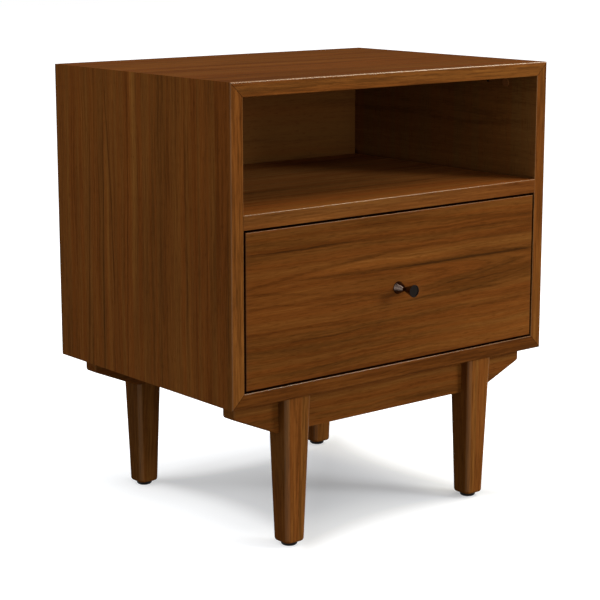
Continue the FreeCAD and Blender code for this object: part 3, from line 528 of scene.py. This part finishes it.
def dress_case():
    """Boards of the case, each with its own figure. The strokes are measured from the case's corners."""
    left, top, back = -CASE_LOW.x, CASE_HIGH.z, CASE_HIGH.y
    dress("top_panel", walnut("walnut_top", "XYZ", 1.0, strokes=TOP_STROKES,
                              corner=((left, 1.0), (back, -1.0)), edge=paler(1.27), edge_strand=0.9,
                              level=-0.05, mitred=True))
    dress("bottom_panel", walnut("walnut_bottom", "XYZ", 2.0, edge=paler(0.78), edge_strand=0.9, arris=0.55,
                                 shaded_in_gaps=True, mitred=True))
    # The shelf's painted light covers all of it; its front edge tint takes that back there.
    dress("shelf", walnut("walnut_shelf", "XYZ", 3.0, edge=paler(0.54), edge_strand=0.8, tint=SHELF_PAINTED_LIGHT,
                          deep=SHELF_DEEP_PAINTED_LIGHT))
    # The back panel's inner face is brightened with painted light.
    dress("back_panel", walnut("walnut_back", "XZY", 4.0, contrast=0.55, edge_strand=0.25, edge=BACK_PAINTED_LIGHT))
    dress("left_side", walnut("walnut_left", "ZYX", 5.0, strokes=SIDE_STROKES,
                              corner=((top, -1.0), (back, -1.0)), inner="YZX", edge=paler(1.32), shaded_in_gaps=True,
                              mitred=True))
    dress("right_side", walnut("walnut_right", "ZYX", 6.0, inner="YZX", edge=paler(1.0), shaded_in_gaps=True,
                               mitred=True))


def dress_walnut():
    """The case, the rails, the drawer front and the legs."""
    dress_case()
    dress("front_rail", walnut("walnut_front_rail", "XZY", 7.0, **RAIL_LOOK))
    dress("rear_rail", walnut("walnut_rear_rail", "XZY", 8.0, **RAIL_LOOK))
    low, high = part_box("drawer_front")
    heart = (low[0] + DRAWER_HEART[0], high[2] - DRAWER_HEART[1])
    dress("drawer_front", walnut("walnut_drawer_front", "XZY", 9.0, strokes=DRAWER_STROKES,
                                 corner=((-low[0], 1.0), (high[2], -1.0)), heart=heart, lift=-low[1],
                                 **DRAWER_LOOK))
    for count, leg in enumerate(LEGS):
        dress("leg_" + leg, walnut("walnut_leg_" + leg, "ZXY", 10.0 + count, **LEG_LOOK))


# ---- plain finishes

MOTTLE_SCALE = 400.0
MOULDED_RELIEF = (0.3, 0.00002)
PAINTED_DARK_FACE_TURN = (-0.75, -0.92)


def plain(name, colour, roughness, metallic=0.0, mottle=0.12, level=0.5, face=None):
    """A moulded, turned or plated finish with slight mottling and a fine surface.

    mottle is how far the colour strays, level the plain shine, and face how much darker the surfaces are that
    look straight to the front: a painted dark reflection."""
    material, graph, shader = new_material(name)
    axes = row_axes(graph)
    cloud = graph.noise(graph.vector(*(graph.scaled(axes[axis], MOTTLE_SCALE) for axis in "XYZ")), detail=3.0)
    low = tuple(part * (1.0 - mottle) for part in colour)
    high = tuple(min(1.0, part * (1.0 + mottle)) for part in colour)
    tone = graph.mix(cloud, low, high)
    # Painted dark reflection on the surfaces that look straight to the front.
    if face:
        tone = graph.tint(tone, (face, face, face), graph.ramp(object_normal(graph)[1], *PAINTED_DARK_FACE_TURN))
    graph.feed(shader.inputs["Base Color"], tone)
    graph.feed(shader.inputs["Roughness"], graph.ramp(cloud, 0.3, 0.7, roughness * 0.85, roughness * 1.15))
    shader.inputs["Metallic"].default_value = metallic
    shader.inputs["Specular IOR Level"].default_value = level
    graph.relief(shader, cloud, *MOULDED_RELIEF)
    return material


PALE = ((0.0, (0.30, 0.17, 0.075)), (0.4, (0.43, 0.27, 0.13)), (0.7, (0.52, 0.34, 0.18)),
        (1.0, (0.60, 0.42, 0.24)))
SCREWS = ("corner_bolts", "rail_bolts", "glide_screws", "slide_case_screws", "slide_drawer_screws",
          "front_screws", "knob_screw")


def dress_drawer_box():
    """Pale wood for the drawer box and the dowels."""
    for count, node in enumerate(("drawer_box_left", "drawer_box_right")):
        dress(node, walnut("box_wood_" + node, "YZX", 20.0 + count, PALE))
    for count, node in enumerate(("drawer_box_front", "drawer_box_back")):
        dress(node, walnut("box_wood_" + node, "XZY", 22.0 + count, PALE))
    dress("drawer_bottom", walnut("box_wood_bottom", "XYZ", 24.0, PALE))
    dowels = walnut("dowel_wood", "XYZ", 25.0, PALE)
    for node in ("shelf_dowels", "leg_dowels"):
        dress(node, dowels)


def dress_fittings():
    """Metal and plastic pieces."""
    steel = plain("zinc_plated_steel", (0.40, 0.40, 0.41), 0.30, 1.0)
    cage = plain("cage_steel", (0.42, 0.42, 0.44), 0.28, 1.0)
    for node in SCREWS:
        dress(node, steel)
    for side in ("left", "right"):
        for member in ("outer", "middle", "inner"):
            dress("slide_%s_%s" % (member, side), steel)
        for member in ("outer", "inner"):
            dress("ball_cage_%s_%s" % (member, side), cage)
    dress("corner_cams", plain("die_cast_zinc", (0.45, 0.45, 0.46), 0.5, 1.0, 0.2))
    dress("rail_inserts", plain("turned_brass", (0.62, 0.42, 0.16), 0.35, 1.0))
    dress("cam_caps", plain("brown_cap", (0.200, 0.075, 0.022), 0.70, level=0.0))
    nylon = plain("black_nylon", (0.003, 0.003, 0.0035), 0.28, level=0.10)
    for leg in LEGS:
        dress("glide_" + leg, nylon)
    # The knob's head gets a painted dark reflection on its front face.
    dress("knob", plain("dark_bronze", (0.100, 0.072, 0.058), 0.14, 1.0, 0.1, face=0.07))


# ---- studio

FLOOR_SIZE = 30.0
FLOOR_PAINT = (0.42, 0.60)                  # to other rays and to the eye
WORLD_LIGHT = 0.42

# The floor's glow is painted light shaped as a star with concave sides and its tips at the feet: low in the
# middle, so that the cast shadow shows there, and white outside.
STAR_POWER = 0.69
STAR_ROUNDING = 0.001
STAR_SHIFT = (0.026, -0.009)
STAR_PAINTED_GLOW = (0.193, 0.169)                  # rise with the star's distance, and level in its middle
STAR_EDGE = (1.02, 1.32, 0.0, 0.223)        # distances and levels between which the shadow ends
FLOOR_EDGE = (1.5, 2.3, 0.0, 0.4)           # the same for the floor's plain white
FLOOR_TINT = (0.96, 1.0, 1.045)


def star_distance(graph, axes):
    """How far a place on the floor is from the middle between the feet: one at the star's tips."""
    feet = [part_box("glide_" + leg) for leg in ("front_left", "rear_right")]
    (left, front), (right, back) = [((low[0] + high[0]) / 2, (low[1] + high[1]) / 2) for low, high in feet]
    shift_x, shift_y = STAR_SHIFT
    across = graph.scaled(axes["X"], 1.0 / (right - left), -((left + right) / 2 + shift_x) / (right - left))
    deep = graph.scaled(axes["Y"], 1.0 / (back - front), -((front + back) / 2 + shift_y) / (back - front))
    total = 0.0
    for way in ("ADD", "SUBTRACT"):
        tip = graph.math(way, across, deep)
        squared = graph.math("MULTIPLY_ADD", tip, tip, STAR_ROUNDING)
        total = graph.math("ADD", graph.math("POWER", squared, STAR_POWER / 2), total)
    return total


def seen_or_mirrored(graph):
    """The light path, and one for rays that the eye sends out, straight or by mirrors and glass."""
    path = graph.node("ShaderNodeLightPath").outputs
    mirrored = graph.math("MAXIMUM", path["Is Glossy Ray"], path["Is Transmission Ray"])
    return path, graph.math("MAXIMUM", path["Is Camera Ray"], mirrored)


def make_floor():
    """A white floor whose painted glow lets the cast shadow show only in a star between the feet, and plain
    white round it.
    """
    mesh = bpy.data.meshes.new("floor")
    half = FLOOR_SIZE / 2
    corners = [(-half, -half, 0), (half, -half, 0), (half, half, 0), (-half, half, 0)]
    mesh.from_pydata(corners, [], [(0, 1, 2, 3)])
    floor = bpy.data.objects.new("floor", mesh)
    bpy.context.scene.collection.objects.link(floor)
    material = bpy.data.materials.new("white_floor")
    material.use_nodes = True
    tree = material.node_tree
    tree.nodes.clear()
    graph = Graph(tree)
    path, seen = seen_or_mirrored(graph)
    shade = graph.ramp(path["Is Camera Ray"], 0.0, 1.0, *FLOOR_PAINT, smooth=False)
    paint = graph.node("ShaderNodeBsdfDiffuse")
    graph.feed(paint.inputs["Color"], graph.vector(*(graph.scaled(shade, part) for part in FLOOR_TINT)))
    glow = graph.node("ShaderNodeEmission")
    star = star_distance(graph, row_axes(graph))
    # Painted glow: it rises away from the star's middle and hides the cast shadow outside the star.
    clear = graph.math("ADD", graph.scaled(star, *STAR_PAINTED_GLOW), graph.ramp(star, *STAR_EDGE))
    clear = graph.math("ADD", clear, graph.ramp(star, *FLOOR_EDGE))
    graph.feed(glow.inputs["Strength"], graph.math("MULTIPLY", seen, graph.math("MINIMUM", clear, 1.0)))
    lit = graph.node("ShaderNodeAddShader")
    graph.feed(lit.inputs[0], paint.outputs[0])
    graph.feed(lit.inputs[1], glow.outputs[0])
    output = graph.node("ShaderNodeOutputMaterial")
    graph.feed(output.inputs["Surface"], lit.outputs[0])
    mesh.materials.append(material)


def make_world():
    """Soft white surround: full white to the eye and in reflections, plain level as light."""
    world = bpy.data.worlds.new("studio")
    bpy.context.scene.world = world
    world.use_nodes = True
    graph = Graph(world.node_tree)
    seen = seen_or_mirrored(graph)[1]
    background = world.node_tree.nodes["Background"]
    background.inputs["Color"].default_value = (1.0, 1.0, 1.0, 1.0)
    graph.feed(background.inputs["Strength"], graph.ramp(seen, 0.0, 1.0, WORLD_LIGHT, 1.0, smooth=False))


LAMP_DISTANCE = 2.4
WHITE = (1.0, 1.0, 1.0)
WARM = (1.0, 0.90, 0.72)
# Softboxes: name, direction from the object's middle, width, height, power and colour.
LAMPS = (
    ("key", (0.57, -0.77, 0.30), 0.60, 0.60, 27.0, WHITE),
    ("fill", (-0.02, -1.0, 0.12), 0.90, 0.80, 11.0, WHITE),
    ("top_strip", (0.62, -0.25, 0.75), 1.50, 0.30, 28.0, WARM),
    ("overhead", (-0.45, 0.05, 0.88), 0.60, 1.20, 23.0, WHITE),
    ("left", (-1.0, -0.03, 0.08), 0.30, 1.60, 6.0, WHITE),
)


def make_lamp(name, direction, width, height, power, colour):
    """A softbox that looks at the object's middle."""
    lamp = bpy.data.lights.new(name, "AREA")
    lamp.color = colour
    lamp.shape = "RECTANGLE"
    lamp.size = width
    lamp.size_y = height
    lamp.energy = power
    thing = bpy.data.objects.new(name, lamp)
    bpy.context.scene.collection.objects.link(thing)
    middle = (LOW + HIGH) / 2
    thing.location = middle + Vector(direction).normalized() * LAMP_DISTANCE
    thing.rotation_euler = (middle - thing.location).to_track_quat("-Z", "Y").to_euler()


# The photograph's viewpoint, found from the case's corners: place, degrees down and to the right, and lens.
CAMERA_PLACE = (-1.5406, -1.8616, 0.7845)
CAMERA_DOWN = 11.024
CAMERA_RIGHT = 39.275
LENS = 105.56
LENS_SHIFT = -0.04


def make_camera():
    """The photograph's camera."""
    lens = bpy.data.cameras.new("camera")
    lens.sensor_width = 36.0
    lens.lens = LENS
    lens.shift_y = LENS_SHIFT
    lens.clip_end = 100.0
    camera = bpy.data.objects.new("camera", lens)
    bpy.context.scene.collection.objects.link(camera)
    camera.location = CAMERA_PLACE
    camera.rotation_euler = (math.radians(90.0 - CAMERA_DOWN), 0.0, math.radians(-CAMERA_RIGHT))
    bpy.context.scene.camera = camera


dress_walnut()
dress_drawer_box()
dress_fittings()
make_floor()
make_world()
for lamp in LAMPS:
    make_lamp(*lamp)
make_camera()
bpy.context.scene.view_settings.view_transform = "Standard"
